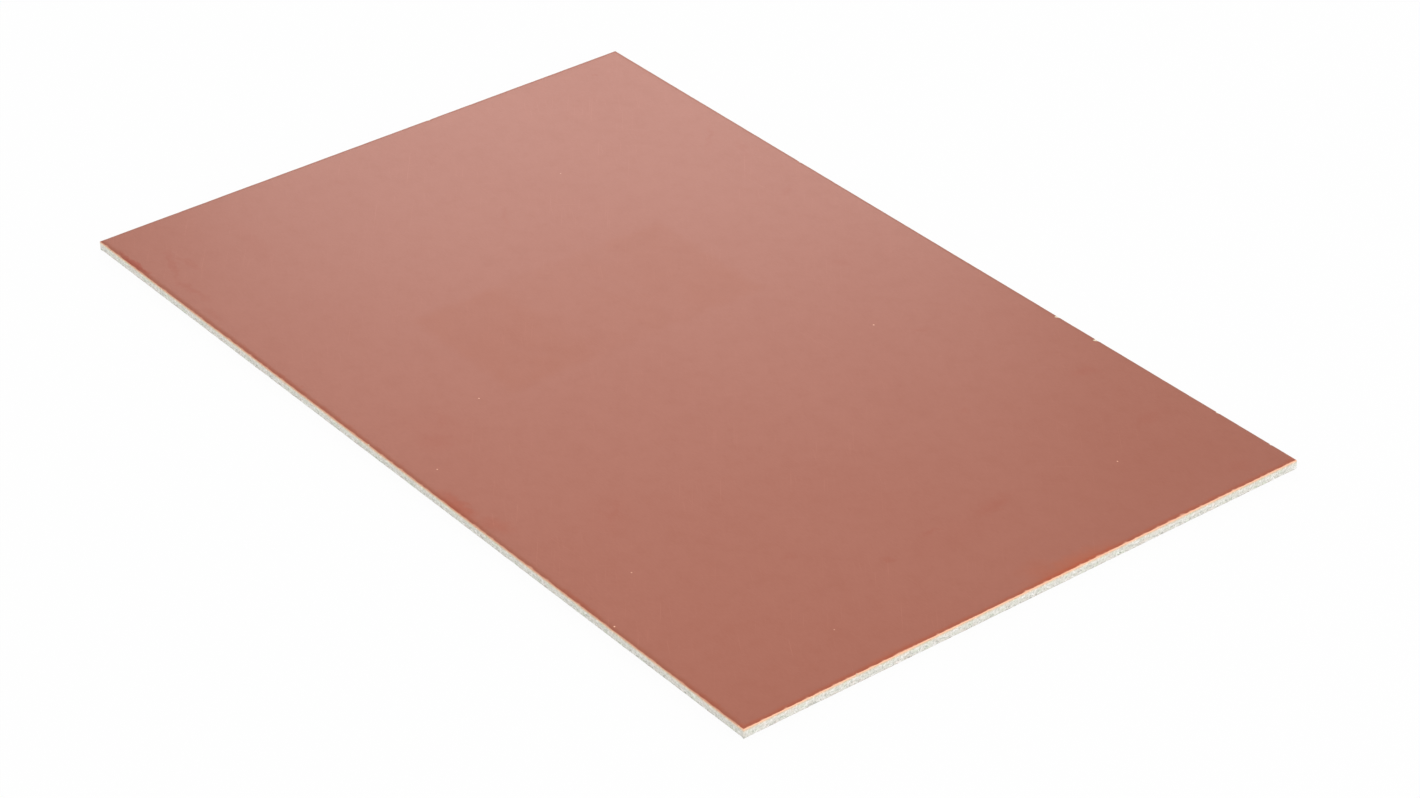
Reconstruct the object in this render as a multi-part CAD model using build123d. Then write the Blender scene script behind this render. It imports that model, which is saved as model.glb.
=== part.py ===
"""Double-sided copper clad board: a blank glass-epoxy laminate with a copper foil pressed on each face.

The board lies flat. The origin is at the centre of its underside, +X runs along its length,
+Y along its width and +Z up through its thickness. All sizes are in millimetres.

The board is cut from a larger panel by a shear that enters from the top face. The blade bends the
top face down a little near each edge, draws the top foil over the edge in a small radius, and leaves
the bottom edges square.
"""

from build123d import *
from math import cos, radians, sin
import os

# Overall sizes of the finished board.
BOARD_LENGTH = 160.0
BOARD_WIDTH = 100.0
BOARD_THICKNESS = 1.6

# Copper weight of 1 ounce per square foot on each face.
TOP_FOIL_THICKNESS = 0.035
BOTTOM_FOIL_THICKNESS = 0.035

# The sheared top edge: a long gentle droop that ends at a slope, then the radius that the foil is
# drawn over, and the straight lip below it.
DROOP_RADIUS = 5.0
DROOP_SLOPE_DEGREES = 7.0
EDGE_ROLL_RADIUS = 0.15
DRAWN_LIP_HEIGHT = 0.06

# Where the core starts, measured up from the underside.
CORE_BOTTOM = BOTTOM_FOIL_THICKNESS

# The droop's arc and the roll's arc touch at the slope, so one centre gives the other.
SLOPE = radians(DROOP_SLOPE_DEGREES)
DROOP_CENTRE_HEIGHT = BOARD_THICKNESS - DROOP_RADIUS
DROOP_CENTRE_INSET = EDGE_ROLL_RADIUS + (DROOP_RADIUS - EDGE_ROLL_RADIUS) * sin(SLOPE)
ROLL_CENTRE_HEIGHT = DROOP_CENTRE_HEIGHT + (DROOP_RADIUS - EDGE_ROLL_RADIUS) * cos(SLOPE)

# The foil's lip ends here, on a ledge of the core.
LEDGE_HEIGHT = ROLL_CENTRE_HEIGHT - DRAWN_LIP_HEIGHT


def slab(length, width, bottom, top):
    """A flat rectangular solid centred on the Z axis, from the height bottom to the height top."""
    block = Box(length, width, top - bottom, align=(Align.CENTER, Align.CENTER, Align.MIN))
    return Pos(0, 0, bottom) * block


def sheared_section(across, inset):
    """The board's section above the ledge, across wide, taken in by inset all round the outside.

    The arcs keep their centres at every inset, so that a foil between two insets is even in thickness.
    """
    side = across / 2 - inset
    droop_centre = (across / 2 - DROOP_CENTRE_INSET, DROOP_CENTRE_HEIGHT)
    roll_centre = (across / 2 - EDGE_ROLL_RADIUS, ROLL_CENTRE_HEIGHT)
    floor = Line((0, LEDGE_HEIGHT), (side, LEDGE_HEIGHT))
    lip = Line((side, LEDGE_HEIGHT), (side, ROLL_CENTRE_HEIGHT))
    roll = CenterArc(roll_centre, EDGE_ROLL_RADIUS - inset, 0, 90 - DROOP_SLOPE_DEGREES)
    droop = CenterArc(droop_centre, DROOP_RADIUS - inset, 90 - DROOP_SLOPE_DEGREES, DROOP_SLOPE_DEGREES)
    flat = Line(droop @ 1, (0, BOARD_THICKNESS - inset))
    half = Curve() + [floor, lip, roll, droop, flat]
    return make_face(half + mirror(half, Plane.YZ))


def sheared_slab(inset):
    """The top of the board above the ledge, with its edges drawn down, taken in by inset all round.

    It is what the sections across the length and across the width have in common, so that the
    corners are mitred.
    """
    overrun = BOARD_LENGTH + BOARD_WIDTH
    across_length = Plane.XZ * sheared_section(BOARD_LENGTH, inset)
    across_width = Plane.YZ * sheared_section(BOARD_WIDTH, inset)
    return extrude(across_length, overrun, both=True) & extrude(across_width, overrun, both=True)


def glass_epoxy_core():
    """The cured laminate: a full-size slab, and above its ledge the part that the top foil wraps."""
    full_size_part = slab(BOARD_LENGTH, BOARD_WIDTH, CORE_BOTTOM, LEDGE_HEIGHT)
    wrapped_part = sheared_slab(TOP_FOIL_THICKNESS)
    return full_size_part + wrapped_part


def copper_foil_top():
    """The top foil: an even skin over the wrapped part, whose drawn lip ends on the core's ledge."""
    return sheared_slab(0) - sheared_slab(TOP_FOIL_THICKNESS)


def copper_foil_bottom():
    """The bottom foil: a flat sheet with square edges, on which the board rests."""
    return slab(BOARD_LENGTH, BOARD_WIDTH, 0, BOTTOM_FOIL_THICKNESS)


PIECES = {
    "glass_epoxy_core": glass_epoxy_core,
    "copper_foil_top": copper_foil_top,
    "copper_foil_bottom": copper_foil_bottom,
}

os.makedirs("parts", exist_ok=True)
for node, build_piece in PIECES.items():
    export_step(build_piece(), f"parts/{node}.step")
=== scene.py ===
"""Looks of a double-sided copper clad board: a sheared glass-epoxy laminate with two copper foils.

The three CAD pieces are replaced by finer meshes in the same places. Each mesh is swept round the
rectangle of the board as rings of points, so that the drawn and torn edges are real geometry.
Lengths named _MM are millimetres, because the detail is small. Meshes are made in metres.
"""

import math

import bpy
import numpy as np
from mathutils import Matrix, Vector


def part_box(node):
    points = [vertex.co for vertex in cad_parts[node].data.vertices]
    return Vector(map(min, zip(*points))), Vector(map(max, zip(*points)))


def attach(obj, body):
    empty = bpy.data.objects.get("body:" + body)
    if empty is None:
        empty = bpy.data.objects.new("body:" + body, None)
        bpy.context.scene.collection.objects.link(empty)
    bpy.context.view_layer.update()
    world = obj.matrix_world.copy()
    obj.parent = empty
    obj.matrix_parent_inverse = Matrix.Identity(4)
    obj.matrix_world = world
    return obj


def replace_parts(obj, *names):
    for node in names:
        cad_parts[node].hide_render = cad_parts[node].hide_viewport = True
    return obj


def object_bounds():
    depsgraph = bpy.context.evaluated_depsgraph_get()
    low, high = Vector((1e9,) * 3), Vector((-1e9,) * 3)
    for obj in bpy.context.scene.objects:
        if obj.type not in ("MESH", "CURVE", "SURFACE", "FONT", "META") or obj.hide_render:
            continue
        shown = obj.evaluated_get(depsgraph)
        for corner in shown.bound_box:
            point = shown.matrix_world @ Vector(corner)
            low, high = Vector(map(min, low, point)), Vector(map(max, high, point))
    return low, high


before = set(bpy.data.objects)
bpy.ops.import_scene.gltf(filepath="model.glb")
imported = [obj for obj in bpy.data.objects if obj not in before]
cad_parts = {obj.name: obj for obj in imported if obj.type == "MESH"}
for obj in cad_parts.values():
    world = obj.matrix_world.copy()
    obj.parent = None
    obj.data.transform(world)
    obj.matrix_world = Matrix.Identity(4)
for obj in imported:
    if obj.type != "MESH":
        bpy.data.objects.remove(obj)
CAD_LOW, CAD_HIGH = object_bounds()

MM = 0.001
BODY = "root"

# Sizes that the frame gives, in millimetres.
HALF_LENGTH_MM = CAD_HIGH.x / MM
HALF_WIDTH_MM = CAD_HIGH.y / MM
TOP_MM = CAD_HIGH.z / MM
LIP_END_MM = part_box("copper_foil_top")[0].z / MM
CORE_BOTTOM_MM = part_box("glass_epoxy_core")[0].z / MM
CORE_TOP_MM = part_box("glass_epoxy_core")[1].z / MM
FOIL_MM = TOP_MM - CORE_TOP_MM

# The sheared top edge, as in the part's source: a droop that ends at a slope, then a small roll.
DROOP_RADIUS_MM = 5.0
DROOP_SLOPE = math.radians(7.0)
ROLL_RADIUS_MM = 0.15
DROOP_START_MM = ROLL_RADIUS_MM + (DROOP_RADIUS_MM - ROLL_RADIUS_MM) * math.sin(DROOP_SLOPE)
ROLL_CENTRE_MM = TOP_MM - DROOP_RADIUS_MM + (DROOP_RADIUS_MM - ROLL_RADIUS_MM) * math.cos(DROOP_SLOPE)

# The four sides of the outline, in the order in which a ring's columns go round it.
SIDE_FRONT, SIDE_RIGHT, SIDE_REAR, SIDE_LEFT = range(4)

# The meshes' unevenness fades out this near to a corner of the board: on the walls, and along the rims.
WALL_FADE_MM = 0.6
RIM_FADE_MM = 1.5


# ---------------------------------------------------------------- noise and small maths


def smooth_step(low, high, value):
    """0 below low, 1 above high, and an even curve between them."""
    t = np.clip((value - low) / (high - low), 0.0, 1.0)
    return t * t * (3.0 - 2.0 * t)


def value_noise(position, cell, seed):
    """Smooth 1-D noise from -1 to 1, with one random value per cell of that length."""
    rng = np.random.default_rng(seed)
    scaled = np.asarray(position) / cell
    first = np.floor(scaled).astype(int)
    values = rng.uniform(-1.0, 1.0, first.max() - first.min() + 3)
    index = first - first.min()
    t = smooth_step(0.0, 1.0, scaled - first)
    return values[index] * (1.0 - t) + values[index + 1] * t


def layered_noise(position, cell, seed, layers=3):
    """value_noise at cell, half of it, a quarter of it and so on, each half as strong."""
    total = np.zeros_like(np.asarray(position, dtype=float))
    for layer in range(layers):
        total += value_noise(position, cell / 2**layer, seed + layer) / 2**layer
    return total


# ---------------------------------------------------------------- meshes round a rectangle


# The free margin at the sides of the UV map, and the share of a strip's row that stays free.
UV_MARGIN = 0.01
ROW_GAP = 0.12


class Strip:
    """A place on the UV map for a band of rings: its lowest and highest v, and the rows for each side.

    A side that takes more than one row is cut into that many stretches, one above the other.
    """

    def __init__(self, low, high, rows=(1, 1, 1, 1)):
        self.low, self.high, self.rows = low, high, np.array(rows)
        self.bands = 0

    def places(self, side, begin, end, lower, upper):
        """The u and v of the four corners of each quad, from its shares of its side and of the strip."""
        rows = self.rows[side]
        row_on_side = np.minimum(np.floor(begin * rows + 1e-9), rows - 1)
        row = (np.cumsum(self.rows) - self.rows)[side] + row_on_side
        row_height = (self.high - self.low) / self.rows.sum()
        width = 1 - 2 * UV_MARGIN
        u = [UV_MARGIN + width * (share * rows - row_on_side) for share in (begin, end, end, begin)]
        levels = [ROW_GAP / 2 + (1 - ROW_GAP) * share for share in (lower, lower, upper, upper)]
        v = [self.low + (row + level) * row_height for level in levels]
        return np.stack([np.stack(u, axis=1), np.stack(v, axis=1)], axis=2).reshape(-1, 2)


class Sweep:
    """A closed mesh made of rings round the board. Every ring has the same columns of points.

    A ring is an inset from the board's outline and a height, each a number or one value per column.
    """

    def __init__(self, cell_mm, columns_per_cell):
        self.cells_x = round(2 * HALF_LENGTH_MM / cell_mm)
        self.cells_y = round(2 * HALF_WIDTH_MM / cell_mm)
        self.split = columns_per_cell
        nx, ny = self.cells_x * columns_per_cell, self.cells_y * columns_per_cell
        tx, ty = np.arange(nx) / nx * 2 - 1, np.arange(ny) / ny * 2 - 1
        ones_x, ones_y = np.ones(nx), np.ones(ny)
        # Each side goes on from the last. Values are shares of the half sides.
        self.share_x = np.concatenate([tx, ones_y, -tx, -ones_y])
        self.share_y = np.concatenate([-ones_x, ty, ones_x, -ty])
        per_side = [nx, ny, nx, ny]
        self.side = np.repeat([SIDE_FRONT, SIDE_RIGHT, SIDE_REAR, SIDE_LEFT], per_side)
        self.count = 2 * (nx + ny)
        self.begin = np.concatenate([np.arange(n) / n for n in per_side])
        self.end = np.concatenate([(np.arange(n) + 1) / n for n in per_side])
        lengths = np.array([HALF_LENGTH_MM, HALF_WIDTH_MM, HALF_LENGTH_MM, HALF_WIDTH_MM]) * 2
        starts = np.cumsum(lengths) - lengths
        self.along = starts[self.side] + self.begin * lengths[self.side]
        x = (1.0 - np.abs(self.share_x)) * HALF_LENGTH_MM
        y = (1.0 - np.abs(self.share_y)) * HALF_WIDTH_MM
        self.corner_distance = np.maximum(x, y)
        self.points, self.faces, self.values, self.slots = [], [], [], []
        self.layout = []
        self.last_ring = None

    def noise(self, cell_mm, seed, layers=3):
        """Noise along the outline that fades out at the corners, so that the two sides meet."""
        fade = smooth_step(0.0, RIM_FADE_MM, self.corner_distance)
        return layered_noise(self.along, cell_mm, seed, layers) * fade

    def ring(self, inset, height, strip=None, value=0.0):
        """Adds a ring of points and joins it to the ring before, on that strip of the UV map."""
        inset = np.broadcast_to(np.asarray(inset, float), self.count)
        height = np.broadcast_to(np.asarray(height, float), self.count)
        x = self.share_x * (HALF_LENGTH_MM - inset)
        y = self.share_y * (HALF_WIDTH_MM - inset)
        start = sum(len(p) for p in self.points)
        self.points.append(np.stack([x, y, height], axis=1))
        self.values.append(np.broadcast_to(np.asarray(value, float), self.count))
        if self.last_ring is not None:
            self._join(self.last_ring, start, strip)
        self.last_ring = start
        return start

    def _join(self, lower, upper, strip):
        index = np.arange(self.count)
        following = (index + 1) % self.count
        quads = np.stack([lower + index, lower + following, upper + following, upper + index], axis=1)
        self.faces.extend(quads.tolist())
        self.slots.extend([0] * self.count)
        self.layout.append((strip, strip.bands))
        strip.bands += 1

    def cap(self, ring, height_at, upward, area, slot=0):
        """Closes a ring with a grid of cells, on an area (u, v, u, v) of the UV map.

        The cells along the rim take in the ring's own columns.
        """
        nx, ny, k = self.cells_x, self.cells_y, self.split
        inner_x = (np.arange(1, nx) / nx * 2 - 1) * HALF_LENGTH_MM
        inner_y = (np.arange(1, ny) / ny * 2 - 1) * HALF_WIDTH_MM
        grid_x, grid_y = np.meshgrid(inner_x, inner_y, indexing="ij")
        start = sum(len(p) for p in self.points)
        flat = np.stack([grid_x.ravel(), grid_y.ravel(), height_at(grid_x, grid_y).ravel()], axis=1)
        self.points.append(flat)
        self.values.append(np.zeros(len(flat)))

        def corner(i, j):
            if 0 < i < nx and 0 < j < ny:
                return start + (i - 1) * (ny - 1) + (j - 1)
            return ring + self._column(i * k, j * k)

        def side(i0, j0, i1, j1):
            """The points from one cell corner up to the next, which is left out."""
            on_rim = (i0 == i1 and i0 in (0, nx)) or (j0 == j1 and j0 in (0, ny))
            if not on_rim:
                return [corner(i0, j0)]
            return [ring + self._column(i0 * k + (i1 - i0) * s, j0 * k + (j1 - j0) * s) for s in range(k)]

        faces = []
        for i in range(nx):
            for j in range(ny):
                loop = side(i, j, i + 1, j) + side(i + 1, j, i + 1, j + 1)
                loop += side(i + 1, j + 1, i, j + 1) + side(i, j + 1, i, j)
                faces.append(loop if upward else loop[::-1])
        self.faces.extend(faces)
        self.slots.extend([slot] * len(faces))
        self.layout.append((area, faces))

    def _column(self, a, b):
        """The column at the grid place (a, b), which is on the rim."""
        nx, ny = self.cells_x * self.split, self.cells_y * self.split
        if b == 0 and a < nx:
            return a
        if a == nx and b < ny:
            return nx + b
        if b == ny and a > 0:
            return nx + ny + (nx - a)
        return 2 * nx + ny + (ny - b)

    def _uv(self, points):
        """The UV of every face corner, in the order of the faces."""
        blocks = []
        for place, content in self.layout:
            if isinstance(place, Strip):
                lower, upper = content / place.bands, (content + 1) / place.bands
                blocks.append(place.places(self.side, self.begin, self.end, lower, upper))
            else:
                corners = points[np.concatenate(content)]
                share_x = corners[:, 0] / HALF_LENGTH_MM / 2 + 0.5
                share_y = corners[:, 1] / HALF_WIDTH_MM / 2 + 0.5
                u = place[0] + (place[2] - place[0]) * share_x
                v = place[1] + (place[3] - place[1]) * share_y
                blocks.append(np.stack([u, v], axis=1))
        return np.concatenate(blocks)

    def build(self, name, materials, crease_degrees, value_name=None):
        """Makes the object in metres, puts it on the body, and gives it its materials.

        The rings' values are kept in the mesh where they are given a name.
        """
        mesh = bpy.data.meshes.new(name)
        points = np.concatenate(self.points)
        mesh.from_pydata((points * MM).tolist(), [], self.faces)
        mesh.uv_layers.new(name="OFBake")
        mesh.uv_layers["OFBake"].uv.foreach_set("vector", self._uv(points).astype(np.float32).ravel())
        if value_name:
            values = mesh.attributes.new(value_name, "FLOAT", "POINT")
            values.data.foreach_set("value", np.concatenate(self.values).astype(np.float32))
        for material in materials:
            mesh.materials.append(material)
        mesh.polygons.foreach_set("material_index", self.slots)
        mesh.shade_smooth()
        mesh.set_sharp_from_angle(angle=math.radians(crease_degrees))
        piece = bpy.data.objects.new(name, mesh)
        bpy.context.scene.collection.objects.link(piece)
        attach(piece, BODY)
        return piece


# ---------------------------------------------------------------- the three pieces

# Where each kind of face lies on the pieces' UV maps.
FACE_AREA = (0.01, 0.01, 0.99, 0.79)
HIDDEN_AREA = (0.01, 0.975, 0.99, 0.995)
CORE_TOP_AREA = (0.01, 0.95, 0.49, 0.995)
CORE_BOTTOM_AREA = (0.51, 0.95, 0.99, 0.995)

# Edges that turn by more than this look sharp.
FOIL_CREASE_DEGREES = 50
WALL_CREASE_DEGREES = 65


def drawn_edge(depth_mm, roll_steps, droop_steps):
    """The inset, height and share of the roll for points up the roll and along the droop, at a depth."""
    path = []
    for angle in np.linspace(0.0, math.pi / 2 - DROOP_SLOPE, roll_steps + 1):
        reach = ROLL_RADIUS_MM - depth_mm
        inset = ROLL_RADIUS_MM - reach * math.cos(angle)
        path.append((inset, ROLL_CENTRE_MM + reach * math.sin(angle), math.sin(angle)))
    for slope in np.linspace(DROOP_SLOPE, 0.0, droop_steps + 1)[1:]:
        reach = DROOP_RADIUS_MM - depth_mm
        inset = DROOP_START_MM - reach * math.sin(slope)
        height = TOP_MM - DROOP_RADIUS_MM + reach * math.cos(slope)
        path.append((inset, height, slope / DROOP_SLOPE))
    return path


PRESSED_WAVE_MM = 0.004


def pressed_height(x, y):
    """The top face: flat, with a long shallow unevenness of a few micrometres from pressing."""
    wave = np.sin(x / 23.0 + 0.7 * np.sin(y / 31.0)) * np.sin(y / 19.0 + 0.5)
    edge = np.minimum(HALF_LENGTH_MM - np.abs(x), HALF_WIDTH_MM - np.abs(y))
    return TOP_MM - PRESSED_WAVE_MM * (1.0 + wave) * smooth_step(1.0, 12.0, edge)


def flat_at(height_mm):
    """The height of a cap that is flat."""
    return lambda x, y: np.full_like(x, height_mm)


# Where the foil's edge is chipped off the core: the side, the x or y there, half the width, the depth.
CHIPS = [
    (SIDE_REAR, 30.0, 0.35, 0.42),
    (SIDE_REAR, 38.6, 0.45, 0.55),
    (SIDE_REAR, 64.2, 0.30, 0.25),
    (SIDE_REAR, 75.0, 0.25, 0.20),
    (SIDE_REAR, -31.0, 0.25, 0.18),
    (SIDE_LEFT, 12.0, 0.30, 0.22),
    (SIDE_RIGHT, -31.0, 0.20, 0.12),
    (SIDE_FRONT, -6.0, 0.25, 0.14),
]


def chipped(sweep):
    """How far the foil is chipped back at each column."""
    depth = np.zeros(sweep.count)
    for side, place, half_width, depth_mm in CHIPS:
        on_long_side = side in (SIDE_FRONT, SIDE_REAR)
        run = sweep.share_x * HALF_LENGTH_MM if on_long_side else sweep.share_y * HALF_WIDTH_MM
        bell = smooth_step(half_width, 0.3 * half_width, np.abs(run - place))
        depth = np.maximum(depth, np.where(sweep.side == side, depth_mm * bell, 0.0))
    return depth


def make_top_foil(material):
    """The foil that the shear drew over the edges, with an uneven roll and a torn lip."""
    sweep = Sweep(cell_mm=1.0, columns_per_cell=5)
    hidden = Strip(0.955, 0.97)
    rim = Strip(0.80, 0.95)
    dent = np.clip(0.006 + 0.009 * sweep.noise(2.3, seed=11) + 0.004 * sweep.noise(0.7, seed=12), 0.0, 0.02)
    wobble = np.clip(0.005 + 0.006 * sweep.noise(1.9, seed=14), 0.0, 0.02)
    torn = np.clip(0.012 + 0.030 * sweep.noise(1.6, seed=13, layers=4), 0.0, 0.055)
    chip = chipped(sweep)

    # The inner skin comes first, from its flat middle out to the lip's end.
    inner_path = drawn_edge(FOIL_MM, roll_steps=2, droop_steps=2)
    for inset, height, share in reversed(inner_path):
        sweep.ring(inset + chip * share, height, hidden)
    inner_ring = 0
    sweep.ring(FOIL_MM + chip, LIP_END_MM + torn, hidden)

    # Then the outer skin, from the lip's end over the roll and up the droop.
    sweep.ring(wobble + chip, LIP_END_MM + torn, rim)
    for inset, height, share in drawn_edge(0.0, roll_steps=7, droop_steps=5):
        edge_inset = inset + wobble * (1.0 - share) + chip * np.clip(1.0 - 1.2 * inset, 0.0, 1.0)
        outer_ring = sweep.ring(edge_inset, height - dent * share, rim)
    sweep.cap(outer_ring, pressed_height, True, FACE_AREA)
    sweep.cap(inner_ring, flat_at(CORE_TOP_MM), False, HIDDEN_AREA)
    piece = sweep.build("rolled_top_foil", [material], FOIL_CREASE_DEGREES)
    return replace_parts(piece, "copper_foil_top")


PLIES = 8
PLY_MM = (CORE_TOP_MM - CORE_BOTTOM_MM) / PLIES
WARP_PITCH_MM, WEFT_PITCH_MM = 0.58, 0.79
YARN_PITCH_MM = {
    SIDE_FRONT: WEFT_PITCH_MM,
    SIDE_RIGHT: WARP_PITCH_MM,
    SIDE_REAR: WEFT_PITCH_MM,
    SIDE_LEFT: WARP_PITCH_MM,
}
WALL_ROWS = 16
# How far the wall lies behind the outline where resin shows, and the most that any of it may.
RESIN_BACK_MM = 0.024
DEEPEST_MM = 0.15
# How far the lower part of each side's wall broke back under the blade.
BREAK_BACK_MM = np.array([0.090, 0.035, 0.045, 0.040])


def woven_section(along, side, height):
    """One row of the cut wall: how much glass shows at each column, and how far it is broken back."""
    glass = np.zeros_like(along)
    broken = np.full_like(along, RESIN_BACK_MM)
    for ply in range(PLIES):
        middle = CORE_BOTTOM_MM + (ply + 0.5) * PLY_MM
        if abs(height - middle) > 0.75 * PLY_MM:
            continue
        for face, pitch in YARN_PITCH_MM.items():
            on_face = side == face
            rng = np.random.default_rng(100 + 10 * ply + face)
            place = along[on_face] / pitch + rng.uniform()
            yarn = np.floor(place).astype(int)
            yarn -= yarn.min()
            jitter = rng.uniform(-0.12, 0.12, yarn.max() + 1)[yarn]
            depth = rng.uniform(-0.020, 0.026, yarn.max() + 1)[yarn]
            cut_clean = rng.uniform(0.35, 1.0, yarn.max() + 1)[yarn]
            off = (place - np.floor(place)) - 0.5 + jitter
            turn = np.where(yarn % 2 == 0, 1, -1)

            # The cut ends of the yarns that run inwards are ovals. The yarns along the wall wave past them.
            end_height = height - middle - 0.10 * PLY_MM * turn
            ends = 1.0 - (off / 0.43) ** 2 - (end_height / (0.40 * PLY_MM)) ** 2
            swing = -0.30 * PLY_MM * np.cos(math.pi * off) * turn
            strand = 1.0 - ((height - middle - swing) / (0.24 * PLY_MM)) ** 2
            ends = smooth_step(0.0, 0.6, ends) * cut_clean
            strand = smooth_step(0.0, 0.7, strand) * 0.75
            shown = np.maximum(ends, strand)
            better = shown > glass[on_face]
            depth_here = RESIN_BACK_MM - 0.020 * ends + depth * ends - 0.010 * strand
            glass[on_face] = np.where(better, shown, glass[on_face])
            broken[on_face] = np.where(better, depth_here, broken[on_face])
    return glass, broken


def make_core(wall_material, pressed_material):
    """The laminate: cut walls where the shear broke the glass plies, and hidden flats under the foils."""
    sweep = Sweep(cell_mm=10.0, columns_per_cell=77)
    wall = Strip(0.01, 0.90, rows=(3, 2, 3, 2))
    under_lip = Strip(0.91, 0.94)
    fade = smooth_step(0.0, WALL_FADE_MM, sweep.corner_distance)
    drift = 0.008 * sweep.noise(6.0, seed=40)
    for row in range(WALL_ROWS + 1):
        share = row / WALL_ROWS
        height = CORE_BOTTOM_MM + share * (LIP_END_MM - CORE_BOTTOM_MM)
        glass, broken = woven_section(sweep.along, sweep.side, height)
        rough = 0.012 * sweep.noise(0.45, seed=300 + row, layers=2)
        back = BREAK_BACK_MM[sweep.side] * (1.0 - share) ** 2
        inset = np.clip((broken + rough + drift + back) * fade, 0.0, DEEPEST_MM)
        if row == WALL_ROWS:
            inset = np.minimum(inset, FOIL_MM * 0.6)
        sweep.ring(inset, height, wall, glass)
    bottom_ring = 0
    for inset, height, _ in drawn_edge(FOIL_MM, roll_steps=2, droop_steps=2):
        if inset == FOIL_MM or height > ROLL_CENTRE_MM:
            last = sweep.ring(inset, height, under_lip)
    sweep.cap(last, flat_at(CORE_TOP_MM), True, CORE_TOP_AREA, slot=1)
    sweep.cap(bottom_ring, flat_at(CORE_BOTTOM_MM), False, CORE_BOTTOM_AREA, slot=1)
    materials = [wall_material, pressed_material]
    piece = sweep.build("sheared_laminate_core", materials, WALL_CREASE_DEGREES, "glass")
    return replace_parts(piece, "glass_epoxy_core")


def make_bottom_foil(material):
    """The foil on the underside: flat, with a square edge that the shear tore slightly."""
    sweep = Sweep(cell_mm=1.0, columns_per_cell=4)
    edge = Strip(0.80, 0.95)
    back = BREAK_BACK_MM[sweep.side] * smooth_step(0.0, WALL_FADE_MM, sweep.corner_distance)
    torn = np.clip(0.045 + back + 0.012 * sweep.noise(1.1, seed=21, layers=4), 0.0, 0.16)
    lower = sweep.ring(torn + 0.004, 0.0)
    sweep.ring(torn, 0.5 * CORE_BOTTOM_MM, edge)
    upper = sweep.ring(torn + 0.002, CORE_BOTTOM_MM, edge)
    sweep.cap(upper, flat_at(CORE_BOTTOM_MM), True, HIDDEN_AREA)
    sweep.cap(lower, flat_at(0.0), False, FACE_AREA)
    piece = sweep.build("square_bottom_foil", [material], FOIL_CREASE_DEGREES)
    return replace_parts(piece, "copper_foil_bottom")


# ---------------------------------------------------------------- materials

# A size, in millimetres, so large that a pattern doesn't change in that direction.
ENDLESS = 1e6


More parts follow.
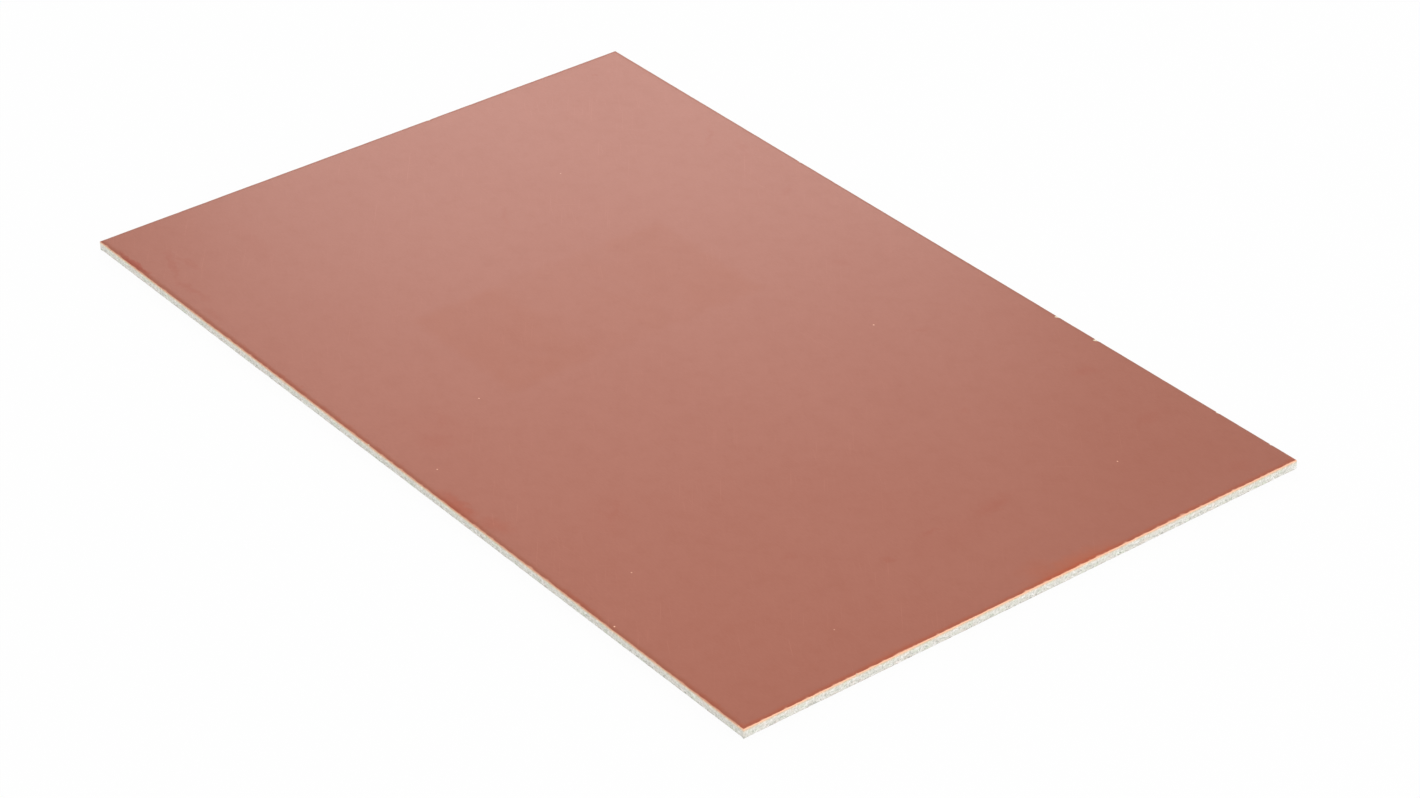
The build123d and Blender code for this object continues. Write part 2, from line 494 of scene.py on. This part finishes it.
class Shader:
    """Builds one material. Every method adds nodes and returns its output socket."""

    def __init__(self, name):
        self.material = bpy.data.materials.new(name)
        self.material.use_nodes = True
        self.tree = self.material.node_tree
        self.principled = self.tree.nodes["Principled BSDF"]
        coordinates = self.tree.nodes.new("ShaderNodeTexCoord")
        scale = self.tree.nodes.new("ShaderNodeVectorMath")
        scale.operation = "SCALE"
        scale.inputs["Scale"].default_value = 1 / MM
        self.link(coordinates.outputs["Object"], scale.inputs[0])
        self.place = scale.outputs["Vector"]
        split = self.tree.nodes.new("ShaderNodeSeparateXYZ")
        self.link(self.place, split.inputs[0])
        self.x, self.y, self.z = split.outputs

    def link(self, source, target):
        """Joins a socket, or sets the target to a plain number or colour."""
        if isinstance(source, bpy.types.NodeSocket):
            self.tree.links.new(source, target)
        else:
            target.default_value = source

    def set(self, **plain):
        """Sets the shader's own sockets to values that are the same all over."""
        for name, value in plain.items():
            self.principled.inputs[name.replace("_", " ")].default_value = value

    def drive(self, **sources):
        """Links sockets of the shader to values that change over the surface."""
        for name, source in sources.items():
            self.link(source, self.principled.inputs[name.replace("_", " ")])

    def math(self, operation, a, b=0.0, c=0.0):
        node = self.tree.nodes.new("ShaderNodeMath")
        node.operation = operation
        for source, socket in zip((a, b, c), node.inputs):
            self.link(source, socket)
        return node.outputs[0]

    def total(self, first, *others):
        """The sum of values."""
        for other in others:
            first = self.math("ADD", first, other)
        return first

    def times(self, first, *others):
        """The product of values."""
        for other in others:
            first = self.math("MULTIPLY", first, other)
        return first

    def mix(self, amount, a, b, how="MIX"):
        """Two colours, mixed or blended in another way as far as amount says."""
        node = self.tree.nodes.new("ShaderNodeMix")
        node.data_type = "RGBA"
        node.blend_type = how
        self.link(amount, node.inputs["Factor"])
        for source, socket in ((a, node.inputs[6]), (b, node.inputs[7])):
            is_socket = isinstance(source, bpy.types.NodeSocket)
            self.link(source if is_socket else (*source, 1.0), socket)
        return node.outputs[2]

    def tint(self, amount, colour, factors):
        """The colour, multiplied by the three factors as far as amount says."""
        return self.mix(amount, colour, factors, "MULTIPLY")

    def between(self, value, low, high, to_low=0.0, to_high=1.0):
        """Maps low..high smoothly to to_low..to_high, and holds the ends."""
        node = self.tree.nodes.new("ShaderNodeMapRange")
        node.interpolation_type = "SMOOTHSTEP"
        self.link(value, node.inputs["Value"])
        limits = {"From Min": low, "From Max": high, "To Min": to_low, "To Max": to_high}
        for name, number in limits.items():
            node.inputs[name].default_value = number
        return node.outputs["Result"]

    def stretch(self, size, turn_degrees=0.0, place=(0.0, 0.0, 0.0), source=None):
        """The board's millimetres, or the source's, seen from a place, turned, and divided by size."""
        node = self.tree.nodes.new("ShaderNodeMapping")
        node.vector_type = "TEXTURE"
        node.inputs["Location"].default_value = place
        node.inputs["Rotation"].default_value = (0.0, 0.0, math.radians(turn_degrees))
        node.inputs["Scale"].default_value = size
        self.link(source or self.place, node.inputs["Vector"])
        return node.outputs["Vector"]

    def noise(self, size, detail=2.0, roughness=0.5, turn_degrees=0.0, place=(0.0, 0.0, 0.0)):
        """Noise with features of that size in millimetres along x, y and z."""
        node = self.tree.nodes.new("ShaderNodeTexNoise")
        node.inputs["Scale"].default_value = 1.0
        node.inputs["Detail"].default_value = detail
        node.inputs["Roughness"].default_value = roughness
        self.link(self.stretch(size, turn_degrees, place), node.inputs["Vector"])
        return node.outputs["Fac"]

    def length(self, vector):
        node = self.tree.nodes.new("ShaderNodeVectorMath")
        node.operation = "LENGTH"
        self.link(vector, node.inputs[0])
        return node.outputs["Value"]

    def attribute(self, name):
        node = self.tree.nodes.new("ShaderNodeAttribute")
        node.attribute_name = name
        return node.outputs["Fac"]

    def bump(self, height, strength, distance_mm):
        node = self.tree.nodes.new("ShaderNodeBump")
        node.inputs["Strength"].default_value = strength
        node.inputs["Distance"].default_value = distance_mm * MM
        self.link(height, node.inputs["Height"])
        self.link(node.outputs["Normal"], self.principled.inputs["Normal"])

    def wandering(self, grain_mm, reach_mm):
        """The board's millimetres, pushed about by noise, which makes plain shapes ragged."""
        node = self.tree.nodes.new("ShaderNodeTexNoise")
        node.inputs["Scale"].default_value = 1.0
        node.inputs["Detail"].default_value = 3.0
        self.link(self.stretch((grain_mm, grain_mm, ENDLESS)), node.inputs["Vector"])
        push = self.tree.nodes.new("ShaderNodeVectorMath")
        push.operation = "MULTIPLY_ADD"
        self.link(node.outputs["Color"], push.inputs[0])
        push.inputs[1].default_value = (2.0 * reach_mm, 2.0 * reach_mm, 0.0)
        push.inputs[2].default_value = (-reach_mm, -reach_mm, 0.0)
        total = self.tree.nodes.new("ShaderNodeVectorMath")
        self.link(self.place, total.inputs[0])
        self.link(push.outputs["Vector"], total.inputs[1])
        return total.outputs["Vector"]

    def spots(self, marks, place):
        """The strongest of several soft ellipses. Each is a strength, x, y, half sizes, turn and softness.

        Each is joined to the last as soon as it is made, because a shader holds few open values.
        """
        total = 0.0
        for strength, x, y, half_x, half_y, turn, soft in marks:
            scaled = self.stretch((half_x, half_y, ENDLESS), turn, (x, y, 0.0), place)
            mask = self.between(self.length(scaled), 1.0 - soft, 1.0 + 0.4 * soft, strength, 0.0)
            total = self.math("MAXIMUM", total, mask)
        return total

    def box(self, x, y, half_x, half_y, soft_mm, wander_mm):
        """1 inside an upright rectangle and 0 outside, with a soft rim that wanders a little."""
        from_x = self.math("SUBTRACT", self.math("ABSOLUTE", self.math("SUBTRACT", self.x, x)), half_x)
        from_y = self.math("SUBTRACT", self.math("ABSOLUTE", self.math("SUBTRACT", self.y, y)), half_y)
        wander = self.noise((3.0, 3.0, ENDLESS), detail=3.0, place=(y, x, 0.0))
        shift = self.math("MULTIPLY_ADD", wander, 2.0 * wander_mm, -wander_mm)
        distance = self.total(self.math("SMOOTH_MAX", from_x, from_y, 2.0), shift)
        return self.between(distance, -soft_mm, soft_mm, 1.0, 0.0)

    def scratches(self, sets):
        """Fine lines, 1 on a line and 0 elsewhere. Each set is a turn, a length, a width and a rarity."""
        total = 0.0
        for turn_degrees, length_mm, width_mm, rarity in sets:
            lines = self.noise((length_mm, width_mm, ENDLESS), detail=1.0, turn_degrees=turn_degrees)
            total = self.math("MAXIMUM", total, self.between(lines, rarity, rarity + 0.06))
        return total

    def edge_distance(self):
        """Millimetres from the nearest edge of the board, seen from above."""
        from_x = self.math("SUBTRACT", HALF_LENGTH_MM, self.math("ABSOLUTE", self.x))
        from_y = self.math("SUBTRACT", HALF_WIDTH_MM, self.math("ABSOLUTE", self.y))
        return self.math("MINIMUM", from_x, from_y)

    def weave(self):
        """The cloth of the outer ply, which shows through the foil as a faint relief."""
        warp = self.math("SINE", self.math("MULTIPLY", self.y, 2 * math.pi / (2 * WARP_PITCH_MM)))
        weft = self.math("SINE", self.math("MULTIPLY", self.x, 2 * math.pi / (2 * WEFT_PITCH_MM)))
        return self.times(warp, weft)


# The foil is metal under a thin dull film, which the coat stands for.
BARE_FOIL = {"Metallic": 1.0, "Coat_Weight": 0.54, "Coat_Roughness": 0.25, "Coat_IOR": 1.5}
COPPER = (0.365, 0.112, 0.065)
FRESH_COPPER = (0.96, 0.56, 0.38)

# How the foil's colour changes where it is tarnished, stained dark, reddened, or rubbed at an edge.
TARNISHED = (0.970, 0.87, 0.72)
STAINED = (0.95, 0.72, 0.58)
REDDENED = (1.00, 0.70, 0.48)
RUBBED = (1.11, 0.88, 0.60)

# Marks on the top face: strength, x, y, half sizes, turn in degrees and softness.
STAINS = [
    (1.00, -70.5, -49.6, 5.0, 0.8, 0.0, 0.7),
    (0.60, -66.5, -45.2, 5.5, 0.6, -22.0, 0.8),
    (0.55, -58.5, -46.8, 5.0, 0.7, 6.0, 0.9),
    (0.45, -66.0, -43.0, 4.0, 0.6, 12.0, 0.9),
    (0.35, -50.0, -48.0, 3.0, 0.7, 0.0, 0.9),
    (0.42, -0.5, -42.0, 3.4, 2.6, 35.0, 1.0),
    (0.30, -4.5, -38.5, 3.2, 1.6, -30.0, 1.0),
    (0.18, -4.0, -40.0, 7.0, 4.2, 15.0, 1.0),
    (0.40, 30.0, -33.2, 4.4, 0.7, -48.0, 0.9),
    (0.20, 30.5, -34.0, 6.0, 3.6, -35.0, 1.0),
    (0.50, 61.7, 9.0, 1.5, 4.4, 8.0, 1.0),
    (0.16, 64.0, 1.0, 3.5, 10.0, 8.0, 1.0),
    (0.45, 61.1, -2.0, 0.7, 1.7, 0.0, 1.0),
    (0.50, 62.6, -11.1, 1.3, 0.7, 55.0, 0.9),
    (0.48, 43.8, 42.6, 1.3, 2.4, -10.0, 1.0),
    (0.30, 58.8, 41.2, 1.2, 3.2, 6.0, 1.0),
    (0.28, 76.2, 42.6, 1.8, 1.8, 0.0, 1.0),
    (0.26, -2.5, 35.0, 2.2, 1.4, 40.0, 1.0),
    (0.30, 20.0, 31.5, 0.7, 1.8, -20.0, 0.9),
    (0.50, -75.4, 42.3, 0.5, 0.45, 0.0, 0.7),
    (0.26, -46.5, 3.0, 4.6, 0.5, -32.0, 0.9),
    (0.26, -39.8, 45.5, 3.6, 0.6, -27.0, 1.0),
    (0.30, -46.5, 43.5, 4.8, 0.5, -42.0, 0.9),
    (0.30, -25.2, 42.6, 2.6, 0.7, -60.0, 1.0),
    (0.18, -64.0, -32.0, 8.5, 1.8, -8.0, 1.0),
    (0.26, -72.0, -11.0, 1.2, 0.6, 30.0, 0.9),
    (0.22, 53.5, -21.0, 1.0, 0.8, 0.0, 0.9),
    (0.26, 40.8, 22.0, 0.9, 1.3, 25.0, 0.9),
]
REDDENINGS = [
    (1.00, 15.0, -49.2, 5.0, 1.5, 0.0, 0.8),
    (0.50, 22.0, -47.8, 3.0, 1.6, 15.0, 0.9),
    (1.00, -70.5, -49.6, 4.5, 0.6, 0.0, 0.7),
    (0.50, -24.0, -49.9, 30.0, 0.5, 0.0, 1.0),
    (0.60, 43.5, -49.8, 6.0, 0.6, 0.0, 1.0),
    (0.60, 72.0, -49.8, 5.5, 0.6, 0.0, 1.0),
]
RUBBINGS = [
    (1.00, 79.6, 8.0, 2.4, 8.5, 0.0, 0.9),
    (0.45, 78.0, 3.5, 3.2, 3.0, 20.0, 1.0),
    (0.40, 79.6, -24.0, 1.0, 6.0, 0.0, 1.0),
]
BRIGHT_SPECKS = [
    (1.0, 51.55, -49.36, 0.14, 0.12, 0.0, 0.5),
    (0.7, 14.5, 27.0, 0.16, 0.13, 30.0, 0.5),
    (0.7, 64.4, 30.0, 0.15, 0.12, 0.0, 0.5),
    (0.6, -6.0, -30.6, 0.15, 0.12, 0.0, 0.5),
    (0.6, 5.5, -46.0, 0.14, 0.12, 20.0, 0.5),
    (0.5, 43.0, -40.0, 0.16, 0.12, 0.0, 0.5),
    (0.4, -52.0, 18.0, 0.12, 0.12, 0.0, 0.5),
    (0.4, 70.5, -27.0, 0.12, 0.12, 0.0, 0.5),
]
SCRATCHES = [
    (-38.0, 16.0, 0.10, 0.705),
    (-31.0, 9.0, 0.08, 0.715),
    (52.0, 12.0, 0.09, 0.725),
    (4.0, 20.0, 0.09, 0.725),
]
UNDERSIDE_STAINS = [
    (0.5, 38.0, -21.0, 9.0, 4.0, 30.0, 1.0),
    (0.4, -52.0, 30.0, 6.0, 3.0, -20.0, 1.0),
    (0.5, -60.0, -44.0, 5.0, 1.2, 10.0, 0.9),
]
# Where a label once lay: its centre and half sizes.
LABEL_GHOST = (-17.2, -2.5, 12.8, 23.1)


def label_ghost(s):
    """A rectangle of slightly deeper tarnish, strongest at its two ends and patchy between them."""
    inside = s.box(*LABEL_GHOST, soft_mm=1.4, wander_mm=0.9)
    near_end = s.between(s.y, -12.5, -8.0, 0.32, 0.0)
    far_end = s.between(s.y, 8.0, 12.5, 0.0, 0.24)
    patches = s.between(s.noise((7.0, 5.0, ENDLESS), detail=3.0), 0.35, 0.7, 0.28, 0.52)
    return s.times(inside, s.total(near_end, far_end, patches))


def foil_surface(s, colour, seed_place):
    """The foil's clouding, fine rolled grain and scratches, the same way on both faces."""
    cloudy = s.noise((30.0, 22.0, ENDLESS), detail=4.0, place=seed_place)
    mottle = s.noise((3.2, 2.6, ENDLESS), detail=4.0, roughness=0.6, place=seed_place)
    colour = s.tint(s.between(cloudy, 0.35, 0.7), colour, (0.985, 0.955, 0.93))
    colour = s.tint(s.between(mottle, 0.42, 0.75, 0.0, 0.8), colour, (0.985, 0.95, 0.91))
    lines = s.scratches(SCRATCHES)
    worn = s.between(s.noise((26.0, 18.0, ENDLESS), place=seed_place), 0.42, 0.6)
    lines = s.times(lines, worn)
    colour = s.tint(s.times(lines, 0.6), colour, (1.18, 1.30, 1.40))
    return colour, lines, mottle


def foil_finish(s, lines, mottle, turn_degrees, smooth, rough):
    """The foil's roughness and relief: fine rolled grain, scratches and a hint of the cloth below."""
    grain = s.noise((0.9, 0.16, ENDLESS), detail=4.0, turn_degrees=turn_degrees)
    roughness = s.between(grain, 0.2, 0.8, smooth, rough)
    s.drive(Roughness=s.total(roughness, s.times(mottle, 0.05), s.times(lines, -0.08)))
    relief = s.total(grain, s.times(s.weave(), 0.25), s.times(lines, -0.8))
    s.bump(relief, 0.06, 0.004)


def copper_top_material():
    """Lightly tarnished foil with handling marks, a label's ghost, bright metal where the shear cut, and a
    painted reflection and highlight along its edges.
    """
    s = Shader("tarnished_copper_foil")
    s.set(**BARE_FOIL)
    colour, lines, mottle = foil_surface(s, COPPER, (0.0, 0.0, 0.0))
    colour = s.tint(label_ghost(s), colour, TARNISHED)
    ragged = s.wandering(grain_mm=1.6, reach_mm=1.5)
    colour = s.tint(s.spots(STAINS, ragged), colour, STAINED)
    colour = s.tint(s.spots(REDDENINGS, ragged), colour, REDDENED)
    colour = s.tint(s.spots(RUBBINGS, ragged), colour, RUBBED)

    # The last stretch before the edge, which the shear bent down, gets a painted darker reflection, redder
    # and lighter on the right (+X) side as a painted highlight.
    uneven = s.noise((2.4, 2.4, ENDLESS), detail=3.0, place=(9.0, 4.0, 0.0))
    edge = s.total(s.edge_distance(), s.math("MULTIPLY_ADD", uneven, 0.8, -0.4))
    # A mask of the right (+X) side, where the painted edge colour and the bare rim are made lighter as
    # painted highlight.
    lit_right_edge = s.between(s.x, HALF_LENGTH_MM - 1.3, HALF_LENGTH_MM - 1.0)
    painted_edge_reflection = s.mix(lit_right_edge, (0.97, 0.94, 0.86), (1.10, 0.88, 0.70))
    colour = s.tint(s.between(edge, 0.25, 1.0, 1.0, 0.0), colour, painted_edge_reflection)
    colour = s.mix(s.spots(BRIGHT_SPECKS, s.place), colour, FRESH_COPPER)

    # Bare metal on the roll, with a painted highlight that makes it brightest on the right (+X) side.
    fresh_top = ROLL_CENTRE_MM + 0.85 * ROLL_RADIUS_MM
    scallops = s.noise((1.2, 1.2, ENDLESS), detail=2.0, place=(3.0, 8.0, 0.0))
    height = s.total(s.z, s.math("MULTIPLY_ADD", scallops, 0.10, -0.05), s.times(lit_right_edge, -0.011))
    rim = s.between(height, fresh_top - 0.04, fresh_top + 0.02, 1.0, 0.0)
    # Painted highlight: the bare rim is fainter away from the right side and reaches higher on it.
    rim = s.times(rim, s.between(lit_right_edge, 0.0, 1.0, 0.65, 1.0))
    colour = s.mix(rim, colour, FRESH_COPPER)
    s.drive(Base_Color=colour)
    foil_finish(s, lines, mottle, turn_degrees=4.0, smooth=0.46, rough=0.54)
    return s.material


def copper_bottom_material():
    """The same foil on the underside, with fewer marks."""
    s = Shader("clean_copper_foil")
    s.set(**BARE_FOIL)
    colour, lines, mottle = foil_surface(s, COPPER, (200.0, 100.0, 0.0))
    colour = s.tint(s.spots(UNDERSIDE_STAINS, s.wandering(grain_mm=1.6, reach_mm=1.5)), colour, STAINED)
    colour = s.tint(s.between(s.edge_distance(), 0.1, 0.8, 0.8, 0.0), colour, (1.06, 0.86, 0.68))
    s.drive(Base_Color=colour)
    foil_finish(s, lines, mottle, turn_degrees=-3.0, smooth=0.44, rough=0.52)
    return s.material


RESIN = (0.64, 0.63, 0.56)
GLASS = (0.84, 0.83, 0.77)


def laminate_material():
    """Sheared glass-epoxy: pale bundles of glass, greyer resin between them and a fibrous grain."""
    s = Shader("sheared_glass_epoxy")
    s.set(Roughness=0.62, IOR=1.5)
    colour = s.mix(s.attribute("glass"), RESIN, GLASS)

    # Crushed glass is white, and resin that stayed clear looks grey or green.
    crushed = s.noise((0.55, 0.55, 0.40), detail=2.0, roughness=0.6)
    colour = s.mix(s.between(crushed, 0.50, 0.68, 0.0, 0.9), colour, (0.93, 0.91, 0.88))
    clear = s.noise((0.42, 0.42, 0.30), detail=2.0, roughness=0.6, place=(31.0, 17.0, 3.0))
    low_down = s.between(s.z, 0.15 * TOP_MM, 0.75 * TOP_MM, 0.85, 0.35)
    grey = s.times(s.between(clear, 0.54, 0.66), low_down)
    colour = s.mix(grey, colour, (0.42, 0.43, 0.39))
    pits = s.noise((0.17, 0.17, 0.13), detail=1.0, place=(11.0, 5.0, 2.0))
    colour = s.mix(s.times(s.between(pits, 0.60, 0.70), low_down), colour, (0.34, 0.35, 0.31))
    hue = s.noise((1.3, 1.3, 0.8), detail=1.0, place=(5.0, 47.0, 9.0))
    colour = s.tint(s.between(hue, 0.56, 0.70, 0.0, 1.0), colour, (1.0, 0.955, 0.945))
    colour = s.tint(s.between(hue, 0.30, 0.44, 1.0, 0.0), colour, (0.95, 1.0, 0.94))

    # The blade smeared a little copper and warm resin down the upper part.
    smear = s.between(s.z, LIP_END_MM - 0.45, LIP_END_MM, 0.0, 1.0)
    colour = s.tint(smear, colour, (1.06, 0.86, 0.68))
    s.drive(Base_Color=colour)
    fibre = s.noise((0.05, 0.05, 0.03), detail=4.0, roughness=0.7)
    s.bump(fibre, 0.4, 0.01)
    return s.material


def pressed_laminate_material():
    """The flats of the core, which the foils hide: smooth resin with the cloth's weave in it."""
    s = Shader("pressed_glass_epoxy")
    s.set(Roughness=0.45, IOR=1.5)
    s.drive(Base_Color=s.mix(s.between(s.weave(), -1.0, 1.0), (0.66, 0.66, 0.56), (0.70, 0.70, 0.61)))
    s.bump(s.weave(), 0.3, 0.004)
    return s.material


# ---------------------------------------------------------------- studio


def only_seen_directly(tree, target, plain, seen):
    """Feeds target with seen for camera, glossy and transmission rays, and with plain for the rest."""
    path = tree.nodes.new("ShaderNodeLightPath")
    first = tree.nodes.new("ShaderNodeMath")
    first.operation = "MAXIMUM"
    tree.links.new(path.outputs["Is Camera Ray"], first.inputs[0])
    tree.links.new(path.outputs["Is Glossy Ray"], first.inputs[1])
    second = tree.nodes.new("ShaderNodeMath")
    second.operation = "MAXIMUM"
    tree.links.new(first.outputs[0], second.inputs[0])
    tree.links.new(path.outputs["Is Transmission Ray"], second.inputs[1])
    mix = tree.nodes.new("ShaderNodeMixShader")
    tree.links.new(second.outputs[0], mix.inputs[0])
    tree.links.new(plain, mix.inputs[1])
    tree.links.new(seen, mix.inputs[2])
    tree.links.new(mix.outputs[0], target)


WORLD_LEVEL = 0.97


def make_world():
    """A white surround where it is seen or mirrored, and a plain level of soft light elsewhere."""
    world = bpy.data.worlds.new("studio")
    bpy.context.scene.world = world
    world.use_nodes = True
    tree = world.node_tree
    plain = tree.nodes["Background"]
    plain.inputs["Color"].default_value = (1.0, 1.0, 1.0, 1.0)
    plain.inputs["Strength"].default_value = WORLD_LEVEL
    seen = tree.nodes.new("ShaderNodeBackground")
    seen.inputs["Color"].default_value = (1.0, 1.0, 1.0, 1.0)
    seen.inputs["Strength"].default_value = 1.0
    output = tree.nodes["World Output"]
    only_seen_directly(tree, output.inputs["Surface"], plain.outputs[0], seen.outputs[0])


FLOOR_HALF_SIZE = 6.0
FLOOR_ALBEDO = 0.9
# How much of the floor that the camera sees is plain white. The rest takes the board's shadow.
FLOOR_LIFT = 0.92


def make_floor():
    """A white floor that keeps a faint shadow of the board."""
    mesh = bpy.data.meshes.new("floor")
    size, z = FLOOR_HALF_SIZE, CAD_LOW.z - 0.02 * MM
    corners = [(-size, -size, z), (size, -size, z), (size, size, z), (-size, size, z)]
    mesh.from_pydata(corners, [], [(0, 1, 2, 3)])
    floor = bpy.data.objects.new("floor", mesh)
    bpy.context.scene.collection.objects.link(floor)
    material = bpy.data.materials.new("white_floor")
    material.use_nodes = True
    tree = material.node_tree
    matte = tree.nodes["Principled BSDF"]
    matte.inputs["Base Color"].default_value = (FLOOR_ALBEDO, FLOOR_ALBEDO, FLOOR_ALBEDO, 1.0)
    matte.inputs["Roughness"].default_value = 1.0
    matte.inputs["Specular IOR Level"].default_value = 0.0
    glow = tree.nodes.new("ShaderNodeEmission")
    glow.inputs["Strength"].default_value = 1.0
    lifted = tree.nodes.new("ShaderNodeMixShader")
    lifted.inputs[0].default_value = FLOOR_LIFT
    tree.links.new(matte.outputs[0], lifted.inputs[1])
    tree.links.new(glow.outputs[0], lifted.inputs[2])
    output = tree.nodes["Material Output"]
    only_seen_directly(tree, output.inputs["Surface"], matte.outputs[0], lifted.outputs[0])
    mesh.materials.append(material)


def direction(azimuth_degrees, elevation_degrees):
    """The unit vector towards a place round the board. Azimuth 0 is -Y and 90 is +X."""
    a, e = math.radians(azimuth_degrees), math.radians(elevation_degrees)
    return Vector((math.sin(a) * math.cos(e), -math.cos(a) * math.cos(e), math.sin(e)))


def make_softbox(name, azimuth, elevation, distance, width, height, radiance):
    """A rectangular soft light that faces the board. Its surface shines at the radiance given."""
    data = bpy.data.lights.new(name, "AREA")
    data.shape = "RECTANGLE"
    data.size, data.size_y = width, height
    data.energy = radiance * math.pi * width * height
    lamp = bpy.data.objects.new(name, data)
    bpy.context.scene.collection.objects.link(lamp)
    back = direction(azimuth, elevation)
    lamp.location = back * distance
    lamp.rotation_mode = "QUATERNION"
    lamp.rotation_quaternion = back.to_track_quat("Z", "Y")


def make_lights():
    """A low softbox behind the board, whose glare fades towards the viewer, and a low one to the right."""
    make_softbox(
        "rear_softbox", azimuth=-125.8, elevation=26.7, distance=1.2, width=0.38, height=0.134, radiance=4.2
    )
    make_softbox(
        "side_softbox", azimuth=104.0, elevation=14.0, distance=1.2, width=0.60, height=0.30, radiance=3.4
    )


CAMERA_AZIMUTH = 52.21
CAMERA_ELEVATION = 32.588
CAMERA_DISTANCE = 0.58842
CAMERA_LENS = 102.88
CAMERA_ROLL = -0.668
SENSOR_WIDTH = 36.0
# The middle of the picture falls on the top face, this far from its centre.
CAMERA_AIM = (0.015267, -0.004649)


def make_camera():
    """A long lens that looks down on the near corner of the board."""
    data = bpy.data.cameras.new("camera")
    data.sensor_width = SENSOR_WIDTH
    data.lens = CAMERA_LENS
    data.clip_start, data.clip_end = 0.01, 50.0
    camera = bpy.data.objects.new("camera", data)
    bpy.context.scene.collection.objects.link(camera)
    centre = (CAD_LOW + CAD_HIGH) / 2
    target = Vector((centre.x + CAMERA_AIM[0], centre.y + CAMERA_AIM[1], CAD_HIGH.z))
    back = direction(CAMERA_AZIMUTH, CAMERA_ELEVATION)
    right = Vector((0.0, 0.0, 1.0)).cross(back).normalized()
    up = back.cross(right)
    roll = math.radians(CAMERA_ROLL)
    x_axis = right * math.cos(roll) + up * math.sin(roll)
    y_axis = up * math.cos(roll) - right * math.sin(roll)
    rotation = Matrix((x_axis, y_axis, back)).transposed()
    camera.location = target + back * CAMERA_DISTANCE
    camera.rotation_mode = "QUATERNION"
    camera.rotation_quaternion = rotation.to_quaternion()
    bpy.context.scene.camera = camera


make_top_foil(copper_top_material())
make_core(laminate_material(), pressed_laminate_material())
make_bottom_foil(copper_bottom_material())
make_world()
make_floor()
make_lights()
make_camera()
bpy.context.scene.view_settings.view_transform = "Standard"
